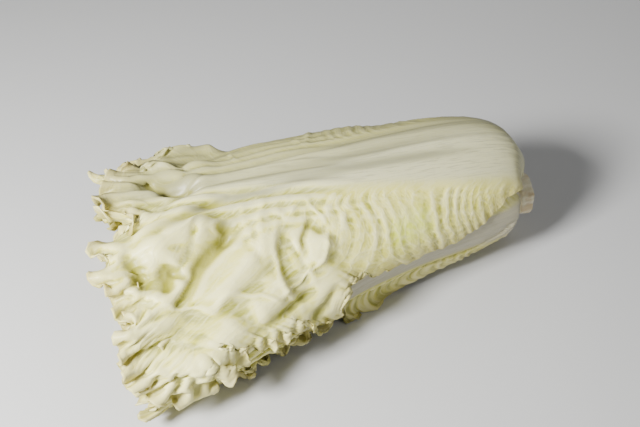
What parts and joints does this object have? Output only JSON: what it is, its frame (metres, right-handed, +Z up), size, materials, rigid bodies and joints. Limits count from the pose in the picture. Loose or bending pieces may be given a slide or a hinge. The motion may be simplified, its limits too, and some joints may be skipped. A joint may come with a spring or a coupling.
{
  "type": "napa cabbage head",
  "caption": "Trimmed head of napa cabbage lying on its side: broad white midribs wrapped round a tight heart, opening into loose frilled tips, with a short cut stem.",
  "frame": {"origin": "on the table under the middle of the whole head", "axes": "+X towards the cut butt and -X towards the leaf tips, +Z up with the head lying on its side, -Y towards its front, where the second leaf's midrib shows"},
  "size_m": [0.3396, 0.2186, 0.1118],
  "materials": {
    "leaf_outer": "satin, cream-white midrib and pale yellow blade, thin and slightly translucent",
    "leaf_ribbed": "satin, greyish white midrib with a pale yellow-green blade",
    "leaf_inner": "satin, pale yellow blade with tan edges",
    "heart": "satin, yellow",
    "stem": "matte, cream cut face with tan edges"
  },
  "bodies": {
    "root": {"leaf_1_top": "leaf_outer", "leaf_2_front": "leaf_ribbed", "leaf_3_back": "leaf_outer", "leaf_4_top": "leaf_inner", "leaf_5_under": "leaf_inner", "leaf_6_back": "leaf_inner", "leaf_7_front": "leaf_inner", "leaf_8_under": "leaf_inner", "heart": "heart", "stem": "stem"}
  },
  "joints": []
}
